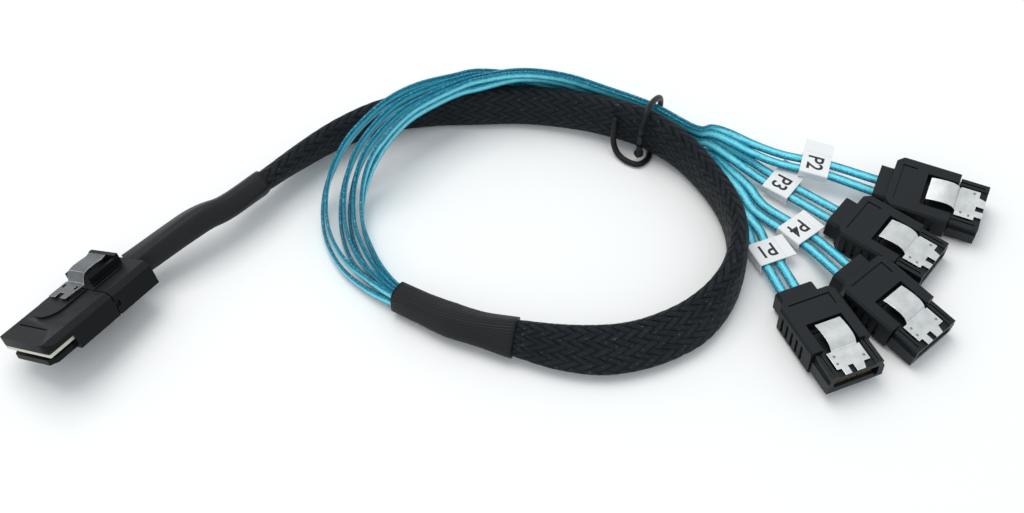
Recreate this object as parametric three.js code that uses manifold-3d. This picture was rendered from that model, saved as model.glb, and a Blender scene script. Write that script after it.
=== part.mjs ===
// Breakout cable: one wide latching plug fans out through a braided sleeve to four small latching plugs.
import * as THREE from "three";
import { mergeVertices } from "three/addons/utils/BufferGeometryUtils.js";
import Module from "manifold-3d";

const wasm = await Module();
wasm.setup();

// Driving dimensions, in millimetres and degrees
const GAP = 0.3;
const CENTRE = [1.85, -9.12];

const RIBBON_WIDTH = 2.2;
const RIBBON_THICK = 0.7;
const LANE_GAP = 0.22;

const SLEEVE_INNER = 0.912;
const SHRINK_WALL = 0.35;
const SHRINK_CLEAR = 0.22;

const PLUG = {
  length: 15.0,
  width: 14.6,
  height: 6.8,
  noseLength: 6.9,
  noseWidth: 13.8,
  noseBase: 0.9,
  noseTop: 5.55,
  windowRear: 7.7,
  windowHalf: 4.4,
  bossLength: 3.0,
  bossRight: -5.6,
  bossLeft: 3.8,
  ribbonPitch: 3.4,
  ribbonHeight: 3.3,
  sheet: 0.3,
  plateTop: 6.15,
  padWidth: 6.2,
};

const HOST = {
  length: 30.0,
  width: 18.0,
  height: 5.8,
  split: 18.25,
  coverReach: 6.9,
  coverUnder: 3.7,
  lipWidth: 14.3,
  lipTop: 1.3,
  cardWidth: 16.1,
  cardBase: 2.3,
  cardThick: 0.8,
  cardRear: 16.0,
  latchSide: -2.8,
  exitSide: 1.0,
  exitHeight: 2.9,
  shroudTop: 8.2,
};

// Resting poses of the plugs: place of the rear underside, then heading, pitch and roll
const HOST_POSE = { x: -100.8, y: -36.0, z: 8.11, yaw: -122.0, pitch: -8.2, roll: 25.5 };
const PLUG_POSES = {
  p1: { x: 64.7, y: -17.5, z: 0.0, yaw: -68.0, pitch: -4.0, roll: 0.0 },
  p2: { x: 89.5, y: 16.2, z: 1.02, yaw: -23.6, pitch: 0.0, roll: 8.0 },
  p3: { x: 78.5, y: 6.4, z: 0.0, yaw: -39.6, pitch: 0.0, roll: 0.0 },
  p4: { x: 77.2, y: -11.0, z: 1.5, yaw: -49.6, pitch: 3.9, roll: 0.0 },
};

// Centre line of the sleeve and its shrink tubes: x, y, z, lean of the wide axis outward, half width,
// half thickness of the sleeve
const SPINE = [
  [-84.3, -8.9, 6.8, -64, 2.85, 2.3],
  [-72.1, 1.2, 9.0, -50, 2.85, 2.3],
  [-65.9, 6.1, 8.3, -42, 2.95, 2.3],
  [-59.2, 14.0, 7.2, -33, 3.9, 2.35],
  [-50.9, 23.5, 6.1, -22, 5.0, 2.4],
  [-41.9, 31.4, 5.8, -14, 5.4, 2.4],
  [-31.6, 37.2, 5.7, -5, 5.4, 2.4],
  [-19.6, 39.9, 5.7, 3, 5.4, 2.4],
  [-7.9, 40.7, 5.7, 8, 5.4, 2.4],
  [2.0, 40.9, 5.8, 8, 5.4, 2.4],
  [11.9, 39.4, 6.2, 8, 5.4, 2.4],
  [21.7, 36.5, 6.9, 8, 5.4, 2.4],
  [32.0, 31.7, 7.4, 8, 5.4, 2.4],
  [40.3, 25.5, 6.6, 4, 5.4, 2.4],
  [45.9, 18.2, 5.8, 0, 5.4, 2.4],
  [49.6, 10.6, 5.7, 0, 5.4, 2.4],
  [51.4, 3.1, 5.7, 0, 5.4, 2.4],
  [51.2, -4.1, 5.7, -3, 5.4, 2.4],
  [49.0, -11.7, 5.6, -12, 5.4, 2.4],
  [45.0, -18.4, 5.5, -24, 5.4, 2.4],
  [39.3, -24.0, 5.4, -38, 5.4, 2.4],
  [32.1, -27.8, 5.1, -46, 5.4, 2.4],
  [25.5, -29.9, 5.0, -50, 5.4, 2.4],
  [18.5, -30.7, 5.0, -52, 5.4, 2.4],
  [10.0, -29.8, 4.9, -50, 4.9, 2.4],
  [0.7, -27.4, 4.75, -40, 4.0, 2.35],
  [-7.0, -25.0, 4.6, -30, 3.1, 2.3],
  [-13.4, -22.6, 4.55, -22, 2.85, 2.3],
  [-19.3, -19.5, 4.3, -15, 2.85, 2.3],
  [-25.4, -15.9, 3.9, -8, 2.85, 2.3],
];
const SLEEVE_SPAN = [1, 28];
const HOST_SHRINK_SPAN = [0, 3];
const SPLIT_SHRINK_SPAN = [25, 29];
const HOST_SHRINK_SWELL = [0.0, 0.35, 0.1, 0.0];
const SPLIT_SHRINK_SWELL = [0.0, 0.05, 0.3, 0.0, 0.0];

// The loop at the left and the crossing over the sleeve: middle of the bundle, heights of the lower and
// upper row, then how far outward each ribbon of the lower and of the upper row runs
const LOOP = [
  { x: -30.7, y: -10.4, low: 1.9, high: 4.4, lower: [3.1, 0.8, -0.5, -2.3], upper: [2.0, 0.2, -1.1, -2.3] },
  { x: -35.2, y: -3.9, low: 1.5, high: 4.0, lower: [4.6, 1.6, -0.6, -3.4], upper: [3.5, 0.5, -1.7, -3.4] },
  { x: -38.2, y: 4.5, low: 1.5, high: 4.2, lower: [5.6, 1.6, -0.6, -3.5], upper: [4.5, 0.5, -1.7, -3.5] },
  { x: -38.6, y: 12.8, low: 3.7, high: 7.0, lower: [5.8, 1.6, -0.6, -3.6], upper: [4.7, 0.5, -1.7, -3.6] },
  { x: -36.4, y: 19.0, low: 8.4, high: 11.9, lower: [5.2, 1.6, -0.6, -3.8], upper: [4.1, 0.5, -1.7, -3.8] },
  { x: -32.6, y: 24.7, low: 12.0, high: 14.5, lower: [4.6, 1.6, -0.6, -4.4], upper: [3.5, 0.5, -1.7, -4.4] },
  { x: -27.2, y: 31.1, low: 12.7, high: 15.1, lower: [3.8, 1.6, -0.6, -4.4], upper: [2.7, 0.5, -1.7, -4.4] },
  { x: -21.0, y: 35.2, low: 12.7, high: 15.1, lower: [3.2, 1.6, -0.6, -3.8], upper: [2.1, 0.5, -1.7, -3.8] },
  { x: -13.2, y: 38.6, low: 12.6, high: 15.0, lower: [2.7, 1.6, -0.6, -2.2], upper: [1.6, 0.5, -1.7, -2.8] },
];

// The stack along the sleeve, against a point of SPINE: how far outward the outer and inner ribbon of
// each leg runs, and how high
const STACK = [
  { at: 8, p1: [4.6, 3.6, 11.9], p4: [4.4, 3.4, 14.3], p3: [1.5, 0.5, 12.6], p2: [1.3, 0.3, 15.0] },
  { at: 9, p1: [5.3, 4.3, 8.0], p4: [5.3, 4.3, 10.4], p3: [3.8, 2.8, 13.1], p2: [3.6, 2.6, 15.5] },
  { at: 10, p1: [5.3, 4.3, 4.9], p4: [5.3, 4.3, 7.3], p3: [5.1, 4.1, 11.1], p2: [5.1, 4.1, 13.5] },
  { at: 11, p1: [5.1, 4.1, 3.3], p4: [5.1, 4.1, 5.7], p3: [5.1, 4.1, 8.2], p2: [5.1, 4.1, 10.6] },
  { at: 12, p1: [5.0, 4.0, 3.1], p4: [5.0, 4.0, 5.5], p3: [5.0, 4.0, 7.9], p2: [5.0, 4.0, 10.3] },
  { at: 13, p1: [4.8, 3.8, 1.8], p4: [4.8, 3.8, 4.2], p3: [5.3, 4.3, 6.8], p2: [5.8, 4.8, 9.3] },
];

// The fan at the right: middle of each pair, height, lean of the flat side and half the pair's pitch
const FAN = {
  p1: [
    [49.4, 20.3, 1.4, 12, 0.52],
    [53.1, 12.2, 1.3, 50, 0.7],
    [56.4, 5.4, 1.0, 84, 1.35],
    [57.4, 0.8, 1.3, 90, 1.5],
    [59.4, -5.0, 2.2, 90, 1.6],
  ],
  p2: [
    [46.6, 30.2, 8.6, 30, 0.75],
    [52.0, 28.3, 8.0, 60, 1.0],
    [58.2, 26.2, 5.9, 85, 1.4],
    [65.0, 24.0, 4.6, 90, 1.55],
    [75.0, 20.7, 4.8, 86, 1.65],
  ],
  p3: [
    [46.2, 29.0, 6.5, 30, 0.72],
    [51.5, 26.3, 5.4, 60, 1.0],
    [56.5, 23.2, 3.9, 85, 1.4],
    [61.0, 20.0, 2.8, 90, 1.5],
    [67.5, 14.8, 2.7, 90, 1.6],
  ],
  p4: [
    [48.5, 25.1, 3.9, 24, 0.6],
    [51.9, 21.3, 3.1, 50, 0.85],
    [55.6, 17.3, 1.8, 80, 1.2],
    [58.5, 11.7, 1.3, 90, 1.45],
    [64.0, 6.0, 1.7, 90, 1.6],
    [69.0, 0.4, 2.7, 90, 1.65],
  ],
};

// Ribbons in the order of the loop's lists: the leg each one ends at, and which side of its pair it is
const LANES = [
  { leg: "p1", row: 0, column: 0, side: 0 },
  { leg: "p1", row: 0, column: 1, side: 1 },
  { leg: "p3", row: 0, column: 2, side: 0 },
  { leg: "p3", row: 0, column: 3, side: 1 },
  { leg: "p4", row: 1, column: 0, side: 0 },
  { leg: "p4", row: 1, column: 1, side: 1 },
  { leg: "p2", row: 1, column: 2, side: 0 },
  { leg: "p2", row: 1, column: 3, side: 1 },
];

// The wire tie: from its knot up over the bundle, down behind it, under the sleeve and round to its tail
const TIE_RADIUS = 0.6;
const TIE_LINE = [
  [30.9, 27.4, 2.6],
  [30.9, 27.9, 5.5],
  [31.0, 27.9, 11.2],
  [32.1, 30.4, 14.4],
  [34.0, 34.3, 14.0],
  [36.0, 37.6, 11.6],
  [36.4, 38.3, 6.5],
  [35.8, 37.2, 1.4],
  [34.9, 34.4, 0.75],
  [34.2, 31.0, 0.75],
  [33.2, 27.6, 0.75],
  [30.9, 25.8, 0.75],
  [28.2, 26.7, 0.8],
  [26.0, 28.8, 1.2],
  [24.9, 30.5, 3.2],
  [24.8, 31.3, 7.0],
  [24.9, 32.1, 10.6],
];

// Flag labels: leg, point of its fan, length along the leg and reach of the flag
const LABELS = [
  { leg: "p1", at: 4, shift: -2.5, flag: 2.4 },
  { leg: "p2", at: 4, shift: -2.6, flag: 3.6 },
  { leg: "p3", at: 4, shift: -4.0, flag: 3.6 },
  { leg: "p4", at: 5, shift: -4.0, flag: 1.7 },
];
const LABEL = { length: 6.8, sheet: 0.28, clear: 0.46 };

const plastic = new THREE.MeshStandardMaterial({ color: 0x2b2f33, roughness: 0.6, metalness: 0 });
const nosePlastic = new THREE.MeshStandardMaterial({ color: 0x303539, roughness: 0.5, metalness: 0 });
const rubber = new THREE.MeshStandardMaterial({ color: 0x24282b, roughness: 0.7, metalness: 0 });
const braid = new THREE.MeshStandardMaterial({ color: 0x26292c, roughness: 0.55, metalness: 0 });
const steel = new THREE.MeshStandardMaterial({ color: 0xc9ccce, roughness: 0.3, metalness: 0.9 });
const darkSteel = new THREE.MeshStandardMaterial({ color: 0x6a6f73, roughness: 0.35, metalness: 0.8 });
const gold = new THREE.MeshStandardMaterial({ color: 0xcaa24a, roughness: 0.3, metalness: 0.9 });
const board = new THREE.MeshStandardMaterial({ color: 0x1f7a64, roughness: 0.5, metalness: 0 });
const jacket = new THREE.MeshStandardMaterial({ color: 0x3fb4cf, roughness: 0.3, metalness: 0.3 });
const paper = new THREE.MeshStandardMaterial({ color: 0xf2f2f0, roughness: 0.6, metalness: 0 });

const radians = THREE.MathUtils.degToRad;
const UP = new THREE.Vector3(0, 0, 1);

// A three.js geometry as a manifold solid
function solid(geometry) {
  const bare = geometry.clone();
  bare.deleteAttribute("normal");
  bare.deleteAttribute("uv");
  const merged = mergeVertices(bare, 1e-5);
  return new wasm.Manifold(new wasm.Mesh({
    numProp: 3,
    vertProperties: new Float32Array(merged.attributes.position.array),
    triVerts: new Uint32Array(merged.index.array),
  }));
}

// A manifold solid as a named three.js mesh
function piece(name, body, material) {
  const data = body.getMesh();
  const geometry = new THREE.BufferGeometry();
  geometry.setAttribute("position", new THREE.BufferAttribute(new Float32Array(data.vertProperties), 3));
  geometry.setIndex(new THREE.BufferAttribute(new Uint32Array(data.triVerts), 1));
  geometry.computeVertexNormals();
  const mesh = new THREE.Mesh(geometry, material);
  mesh.name = name;
  return mesh;
}

// A block between two corners
function block(x0, x1, y0, y1, z0, z1) {
  const geometry = new THREE.BoxGeometry(x1 - x0, y1 - y0, z1 - z0);
  geometry.translate((x0 + x1) / 2, (y0 + y1) / 2, (z0 + z1) / 2);
  return solid(geometry);
}

// An outline in the y-z plane drawn out along x
function bar(outline, x0, x1) {
  const shape = new THREE.Shape(outline.map(([y, z]) => new THREE.Vector2(y, z)));
  const geometry = new THREE.ExtrudeGeometry(shape, { depth: x1 - x0, bevelEnabled: false });
  geometry.applyMatrix4(new THREE.Matrix4().set(0, 0, 1, x0, 1, 0, 0, 0, 0, 1, 0, 0, 0, 0, 0, 1));
  return solid(geometry);
}

// An outline in the x-y plane drawn up from one height to another
function slab(outline, z0, z1) {
  const shape = new THREE.Shape(outline.map(([x, y]) => new THREE.Vector2(x, y)));
  const geometry = new THREE.ExtrudeGeometry(shape, { depth: z1 - z0, bevelEnabled: false });
  geometry.translate(0, 0, z0);
  return solid(geometry);
}

// A bent sheet: a line in the x-z plane with a thickness, drawn across y
function sheet(line, thick, y0, y1) {
  const upper = [];
  const lower = [];
  line.forEach(([x, z], i) => {
    const before = line[Math.max(i - 1, 0)];
    const after = line[Math.min(i + 1, line.length - 1)];
    const along = new THREE.Vector2(after[0] - before[0], after[1] - before[1]).normalize();
    upper.push([x - along.y * thick / 2, z + along.x * thick / 2]);
    lower.unshift([x + along.y * thick / 2, z - along.x * thick / 2]);
  });
  const shape = new THREE.Shape([...upper, ...lower].map(([x, z]) => new THREE.Vector2(x, z)));
  const geometry = new THREE.ExtrudeGeometry(shape, { depth: y1 - y0, bevelEnabled: false });
  geometry.applyMatrix4(new THREE.Matrix4().set(1, 0, 0, 0, 0, 0, -1, y1, 0, 1, 0, 0, 0, 0, 0, 1));
  return solid(geometry);
}

// The rectangle between two corners with its four corners cut off
function chamfered(y0, y1, z0, z1, cut) {
  return [
    [y0 + cut, z0], [y1 - cut, z0], [y1, z0 + cut], [y1, z1 - cut],
    [y1 - cut, z1], [y0 + cut, z1], [y0, z1 - cut], [y0, z0 + cut],
  ];
}

// The direction of the wide axis for a direction of travel and a lean toward the left-hand side
function wideAxis(along, lean) {
  const left = new THREE.Vector3().crossVectors(UP, along).normalize();
  const up = new THREE.Vector3().crossVectors(along, left).normalize();
  return up.multiplyScalar(Math.cos(radians(lean))).addScaledVector(left, Math.sin(radians(lean)));
}

// The lean that a given wide axis has for a direction of travel
function leanOf(along, wide) {
  const left = new THREE.Vector3().crossVectors(UP, along).normalize();
  const up = new THREE.Vector3().crossVectors(along, left).normalize();
  return THREE.MathUtils.radToDeg(Math.atan2(wide.dot(left), wide.dot(up)));
}

// A route with its own section frames: each form holds the lean and the section's two scales
class Route extends THREE.Curve {
  constructor(places, forms, steps, from = 0, to = places.length - 1) {
    super();
    const line = new THREE.CatmullRomCurve3(places, false, "catmullrom", 0.5);
    const shape = new THREE.CatmullRomCurve3(forms, false, "catmullrom", 0.5);
    const spans = places.length - 1;
    const marks = [from / spans];
    for (let i = from; i < to; i += 1) {
      for (let k = 1; k <= steps(i); k += 1) {
        marks.push((i + k / steps(i)) / spans);
      }
    }
    this.points = marks.map((t) => line.getPoint(t));
    this.tangents = marks.map((t) => line.getTangent(t));
    this.normals = [];
    this.binormals = [];
    marks.forEach((t, i) => {
      const form = shape.getPoint(t);
      const wide = wideAxis(this.tangents[i], form.x);
      const thin = new THREE.Vector3().crossVectors(this.tangents[i], wide);
      this.normals.push(wide.multiplyScalar(form.y));
      this.binormals.push(thin.multiplyScalar(form.z));
    });
  }

  getSpacedPoints() {
    return this.points;
  }

  computeFrenetFrames() {
    return { tangents: this.tangents, normals: this.normals, binormals: this.binormals };
  }

  extrude(section) {
    const steps = this.points.length - 1;
    return solid(new THREE.ExtrudeGeometry(section, { steps, bevelEnabled: false, extrudePath: this }));
  }
}

const ringPoints = (scale) => [
  [1, 0.62], [0.9, 0.9], [0.6, 1], [-0.6, 1], [-0.9, 0.9], [-1, 0.62],
  [-1, -0.62], [-0.9, -0.9], [-0.6, -1], [0.6, -1], [0.9, -0.9], [1, -0.62],
].map(([x, y]) => new THREE.Vector2(x * scale, y * scale));
const TUBE_SECTION = new THREE.Shape(ringPoints(1));
const SLEEVE_SECTION = new THREE.Shape(ringPoints(1));
SLEEVE_SECTION.holes.push(new THREE.Path(ringPoints(SLEEVE_INNER).reverse()));

function ribbonSection() {
  const w = RIBBON_WIDTH / 2;
  const t = RIBBON_THICK / 2;
  const points = [[w, t * 0.4], [w * 0.82, t], [-w * 0.82, t], [-w, t * 0.4]];
  const back = points.map(([x, y]) => [-x, -y]);
  return new THREE.Shape([...points, ...back].map(([x, y]) => new THREE.Vector2(x, y)));
}

function poseMatrix(pose) {
  const turn = new THREE.Euler(radians(pose.roll), radians(pose.pitch), radians(pose.yaw), "ZYX");
  return new THREE.Matrix4().makeRotationFromEuler(turn).setPosition(pose.x, pose.y, pose.z);
}

function posed(pose) {
  const group = new THREE.Group();
  group.applyMatrix4(poseMatrix(pose));
  return group;
}

const cable = new THREE.Group();
cable.position.set(-CENTRE[0], -CENTRE[1], 0);

// The sleeve and its two shrink tubes
const spinePlaces = SPINE.map(([x, y, z]) => new THREE.Vector3(x, y, z));
const spineLine = new THREE.CatmullRomCurve3(spinePlaces, false, "catmullrom", 0.5);

function spineFrame(index) {
  const along = spineLine.getTangent(index / (SPINE.length - 1));
  const wide = wideAxis(along, SPINE[index][3]);
  const thin = new THREE.Vector3().crossVectors(along, wide);
  const out = new THREE.Vector3().crossVectors(UP, along).normalize();
  return { along, wide, thin, out };
}

function spineRoute([from, to], grow) {
  const forms = SPINE.map(([, , , lean, wide, thin], i) => {
    return new THREE.Vector3(lean, wide + grow(i - from), thin + grow(i - from));
  });
  return new Route(spinePlaces, forms, () => 2, from, to);
}

cable.add(piece("braided_sleeve", spineRoute(SLEEVE_SPAN, () => 0).extrude(SLEEVE_SECTION), braid));

function shrinkTube(name, span, swell) {
  const bore = spineRoute(span, () => SHRINK_CLEAR).extrude(TUBE_SECTION);
  const skin = spineRoute(span, (i) => SHRINK_CLEAR + SHRINK_WALL + (swell[i] ?? 0)).extrude(TUBE_SECTION);
  cable.add(piece(name, skin.subtract(bore), rubber));
}
shrinkTube("host_heat_shrink", HOST_SHRINK_SPAN, HOST_SHRINK_SWELL);
shrinkTube("split_heat_shrink", SPLIT_SHRINK_SPAN, SPLIT_SHRINK_SWELL);

// The eight ribbons, each one piece from the host plug's card to its own small plug
const hostMatrix = poseMatrix(HOST_POSE);

function pairAxis(places, index) {
  const before = places[Math.max(index - 1, 0)];
  const after = places[Math.min(index + 1, places.length - 1)];
  const along = new THREE.Vector3(after.x - before.x, after.y - before.y, 0).normalize();
  return new THREE.Vector3().crossVectors(UP, along);
}

function ribbonStations(lane, index) {
  const across = (lane.row - 0.5) * (RIBBON_WIDTH + LANE_GAP);
  const through = (lane.column - 1.5) * (RIBBON_THICK + LANE_GAP);
  const stations = [];
  const add = (place, lean) => stations.push({ place, lean });

  const hostBack = new THREE.Vector3(-1, 0, 0).transformDirection(hostMatrix);
  const hostWide = new THREE.Vector3(0, 1, 0).transformDirection(hostMatrix);
  const hostLean = leanOf(hostBack, hostWide);
  for (const reach of [HOST.cardRear + GAP, 25.0]) {
    const local = new THREE.Vector3(-reach, HOST.exitSide + across, HOST.exitHeight - through);
    add(local.applyMatrix4(hostMatrix), hostLean);
  }
  SPINE.forEach((row, i) => {
    const frame = spineFrame(i);
    const place = spinePlaces[i].clone();
    place.addScaledVector(frame.wide, across).addScaledVector(frame.thin, through);
    add(place, row[3]);
  });
  LOOP.forEach((spot, i) => {
    const out = pairAxis([{ x: SPINE.at(-1)[0], y: SPINE.at(-1)[1] }, ...LOOP], i + 1);
    const reach = (lane.row === 0 ? spot.lower : spot.upper)[index % 4];
    const height = lane.row === 0 ? spot.low : spot.high;
    add(new THREE.Vector3(spot.x, spot.y, height).addScaledVector(out, reach), 0);
  });
  STACK.forEach((spot) => {
    const out = spineFrame(spot.at).out;
    const foot = spinePlaces[spot.at];
    const place = new THREE.Vector3(foot.x, foot.y, spot[lane.leg][2]);
    add(place.addScaledVector(out, spot[lane.leg][lane.side]), 0);
  });
  const fan = FAN[lane.leg];
  const pose = PLUG_POSES[lane.leg];
  const plugMatrix = poseMatrix(pose);
  const turn = lane.side === 0 ? 1 : -1;
  fan.forEach(([x, y, z, lean, half], i) => {
    const out = pairAxis(fan.map(([px, py]) => ({ x: px, y: py })), i);
    add(new THREE.Vector3(x, y, z).addScaledVector(out, turn * half), lean);
  });
  const middle = (PLUG.bossLeft + PLUG.bossRight) / 2;
  for (const reach of [-PLUG.bossLength - 1.6, -PLUG.bossLength + 1.0, 1.2]) {
    const local = new THREE.Vector3(reach, middle + turn * PLUG.ribbonPitch / 2, PLUG.ribbonHeight);
    add(local.applyMatrix4(plugMatrix), 90 - pose.roll);
  }
  return stations;
}

const HIDDEN_SPANS = SPINE.length;
LANES.forEach((lane, index) => {
  const stations = ribbonStations(lane, index);
  const places = stations.map((station) => station.place);
  const forms = stations.map((station) => new THREE.Vector3(station.lean, 1, 1));
  const route = new Route(places, forms, (span) => (span < HIDDEN_SPANS ? 1 : 2));
  const name = `${lane.leg}_ribbon_${lane.side === 0 ? "outer" : "inner"}`;
  cable.add(piece(name, route.extrude(ribbonSection()), jacket));
});

// Flag labels round each pair
LABELS.forEach(({ leg, at, shift, flag }) => {
  const fan = FAN[leg];
  const [x, y, z, , half] = fan[at];
  const before = fan[at - 1];
  const after = fan[at + 1] ?? [PLUG_POSES[leg].x, PLUG_POSES[leg].y, PLUG.ribbonHeight];
  const along = new THREE.Vector3(after[0] - before[0], after[1] - before[1], after[2] - before[2]).normalize();
  const left = new THREE.Vector3().crossVectors(UP, along).normalize();
  const up = new THREE.Vector3().crossVectors(along, left);
  const inner = half + RIBBON_WIDTH / 2 + LABEL.clear;
  const bore = RIBBON_THICK / 2 + LABEL.clear;
  const outer = inner + LABEL.sheet;
  const top = bore + LABEL.sheet;
  const band = bar(chamfered(-outer, outer, -top, top, 0.2), -LABEL.length / 2, LABEL.length / 2);
  const hollow = block(-LABEL.length, LABEL.length, -inner, inner, -bore, bore);
  const tab = block(
    -LABEL.length / 2, LABEL.length / 2,
    outer - 0.1, outer + flag, top - LABEL.sheet * 1.6, top,
  );
  const mesh = piece(`${leg}_label`, band.subtract(hollow).add(tab), paper);
  const turn = new THREE.Matrix4().makeBasis(along, left, up);
  turn.setPosition(x + along.x * shift, y + along.y * shift, z + along.z * shift);
  mesh.applyMatrix4(turn);
  cable.add(mesh);
});

// The wire tie
function buildTie() {
  const places = TIE_LINE.map(([x, y, z]) => new THREE.Vector3(x, y, z));
  const line = new THREE.CatmullRomCurve3(places, false, "centripetal");
  const ring = [];
  for (let i = 0; i < 8; i += 1) {
    const angle = (i + 0.5) * Math.PI / 4;
    ring.push(new THREE.Vector2(TIE_RADIUS * Math.cos(angle), TIE_RADIUS * Math.sin(angle)));
  }
  const path = { steps: 44, bevelEnabled: false, extrudePath: line };
  const wire = solid(new THREE.ExtrudeGeometry(new THREE.Shape(ring), path));
  const knot = new THREE.SphereGeometry(1.15, 10, 8);
  knot.translate(TIE_LINE[0][0], TIE_LINE[0][1], TIE_LINE[0][2] + 0.4);
  return piece("wire_tie", wire.add(solid(knot)), rubber);
}
cable.add(buildTie());

// One small plug in its own axes: x toward its mouth, y to its left, z up from its underside
function buildPlug(leg) {
  const p = PLUG;
  const w = p.width / 2;
  const nose = p.noseWidth / 2;
  const front = p.length + p.noseLength;
  const group = posed(PLUG_POSES[leg]);

  const cavity = { rear: 8.8, half: 5.6, low: 1.1, high: 4.9 };
  const middle = (p.bossLeft + p.bossRight) / 2;
  const corner = 1.8;
  const plan = [
    [0, corner - w], [corner, -w], [p.length, -w], [p.length, w], [corner, w], [0, w - corner],
  ];
  let shell = bar(chamfered(-w, w, 0, p.height, 0.5), 0, p.length).intersect(slab(plan, -1, p.height + 1));
  shell = shell.add(bar(chamfered(p.bossRight, p.bossLeft, 0.6, 6.1, 0.6), -p.bossLength, 0.2));
  shell = shell.subtract(block(cavity.rear, p.length + 1, -cavity.half, cavity.half, cavity.low, cavity.high));
  shell = shell.subtract(block(p.windowRear, p.length + 1, -p.windowHalf, p.windowHalf, 4.4, p.height + 1));
  for (const side of [-1, 1]) {
    const slot = { half: RIBBON_WIDTH / 2 + GAP, tall: RIBBON_THICK / 2 + GAP };
    const y = middle + side * p.ribbonPitch / 2;
    shell = shell.subtract(block(
      -p.bossLength - 1, 1.6, y - slot.half, y + slot.half, p.ribbonHeight - slot.tall, p.ribbonHeight + slot.tall,
    ));
    for (let i = 0; i < 5; i += 1) {
      const x = 3.2 + i * 2.0;
      shell = shell.subtract(block(x, x + 0.8, side * w - 0.45, side * w + 0.45, 1.0, 5.2));
    }
  }
  shell = shell.subtract(block(1.6, 2.0, -5.2, 4.9, p.height - 0.35, p.height + 1));
  shell = shell.subtract(block(1.6, 5.0, 4.6, 5.0, p.height - 0.35, p.height + 1));
  group.add(piece(`${leg}_overmould`, shell, plastic));

  const noseRear = p.length + GAP;
  const side = nose - 0.55;
  const profile = [
    [-nose, p.noseBase], [nose, p.noseBase], [nose, 4.2], [side, 4.2], [side, 6.1],
    [4.5, 6.1], [4.5, p.noseTop], [-4.5, p.noseTop], [-4.5, 6.1], [-side, 6.1], [-side, 4.2], [-nose, 4.2],
  ];
  let housing = bar(profile, noseRear, front);
  housing = housing.add(block(
    cavity.rear + GAP, noseRear + 0.5,
    -cavity.half + GAP, cavity.half - GAP, cavity.low + GAP, cavity.high - GAP - 0.2,
  ));
  housing = housing.subtract(block(noseRear - 1, p.length + 4.5, -4.4, 4.4, 5.1, 7));
  housing = housing.subtract(block(noseRear + 1.0, front + 1, -5.3, 5.5, 2.5, 4.6));
  housing = housing.subtract(block(noseRear + 1.0, front + 1, 4.5, 5.5, 1.7, 2.6));
  for (const edge of [-1, 1]) {
    housing = housing.subtract(block(noseRear - 1, front - 0.8, edge * 5.3 - 0.2, edge * 5.3 + 0.2, 5.6, 7));
  }
  group.add(piece(`${leg}_nose`, housing, nosePlastic));

  const half = p.sheet / 2;
  const plate = slab([
    [15.7, -4.0], [20.2, -4.0], [20.2, -3.0], [front, -3.0], [front, -1.4],
    [20.0, -1.4], [20.0, -0.1], [front, -0.1], [front, 1.9], [20.2, 2.4], [20.2, 4.0], [15.7, 4.0],
  ], p.plateTop - p.sheet, p.plateTop);
  const arch = [
    [16.1, p.plateTop - half], [15.5, 6.2], [15.15, 6.7], [14.6, 7.15], [13.6, 7.45], [12.2, 7.5],
    [10.4, 7.3], [8.7, 6.95],
  ];
  const spring = sheet(arch, p.sheet, 0.3 - p.padWidth / 2, 0.3 + p.padWidth / 2);
  group.add(piece(`${leg}_latch`, plate.add(spring), steel));

  let wafer = block(noseRear + 1.3, front - 0.7, -4.9, 4.2, 2.8, 3.1);
  for (let i = 0; i < 7; i += 1) {
    const y = -4.2 + i * 1.27;
    wafer = wafer.add(block(noseRear + 1.5, front - 1.0, y - 0.3, y + 0.3, 3.0, 3.35));
  }
  group.add(piece(`${leg}_contacts`, wafer, gold));
  cable.add(group);
}
Object.keys(PLUG_POSES).forEach(buildPlug);

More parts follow.
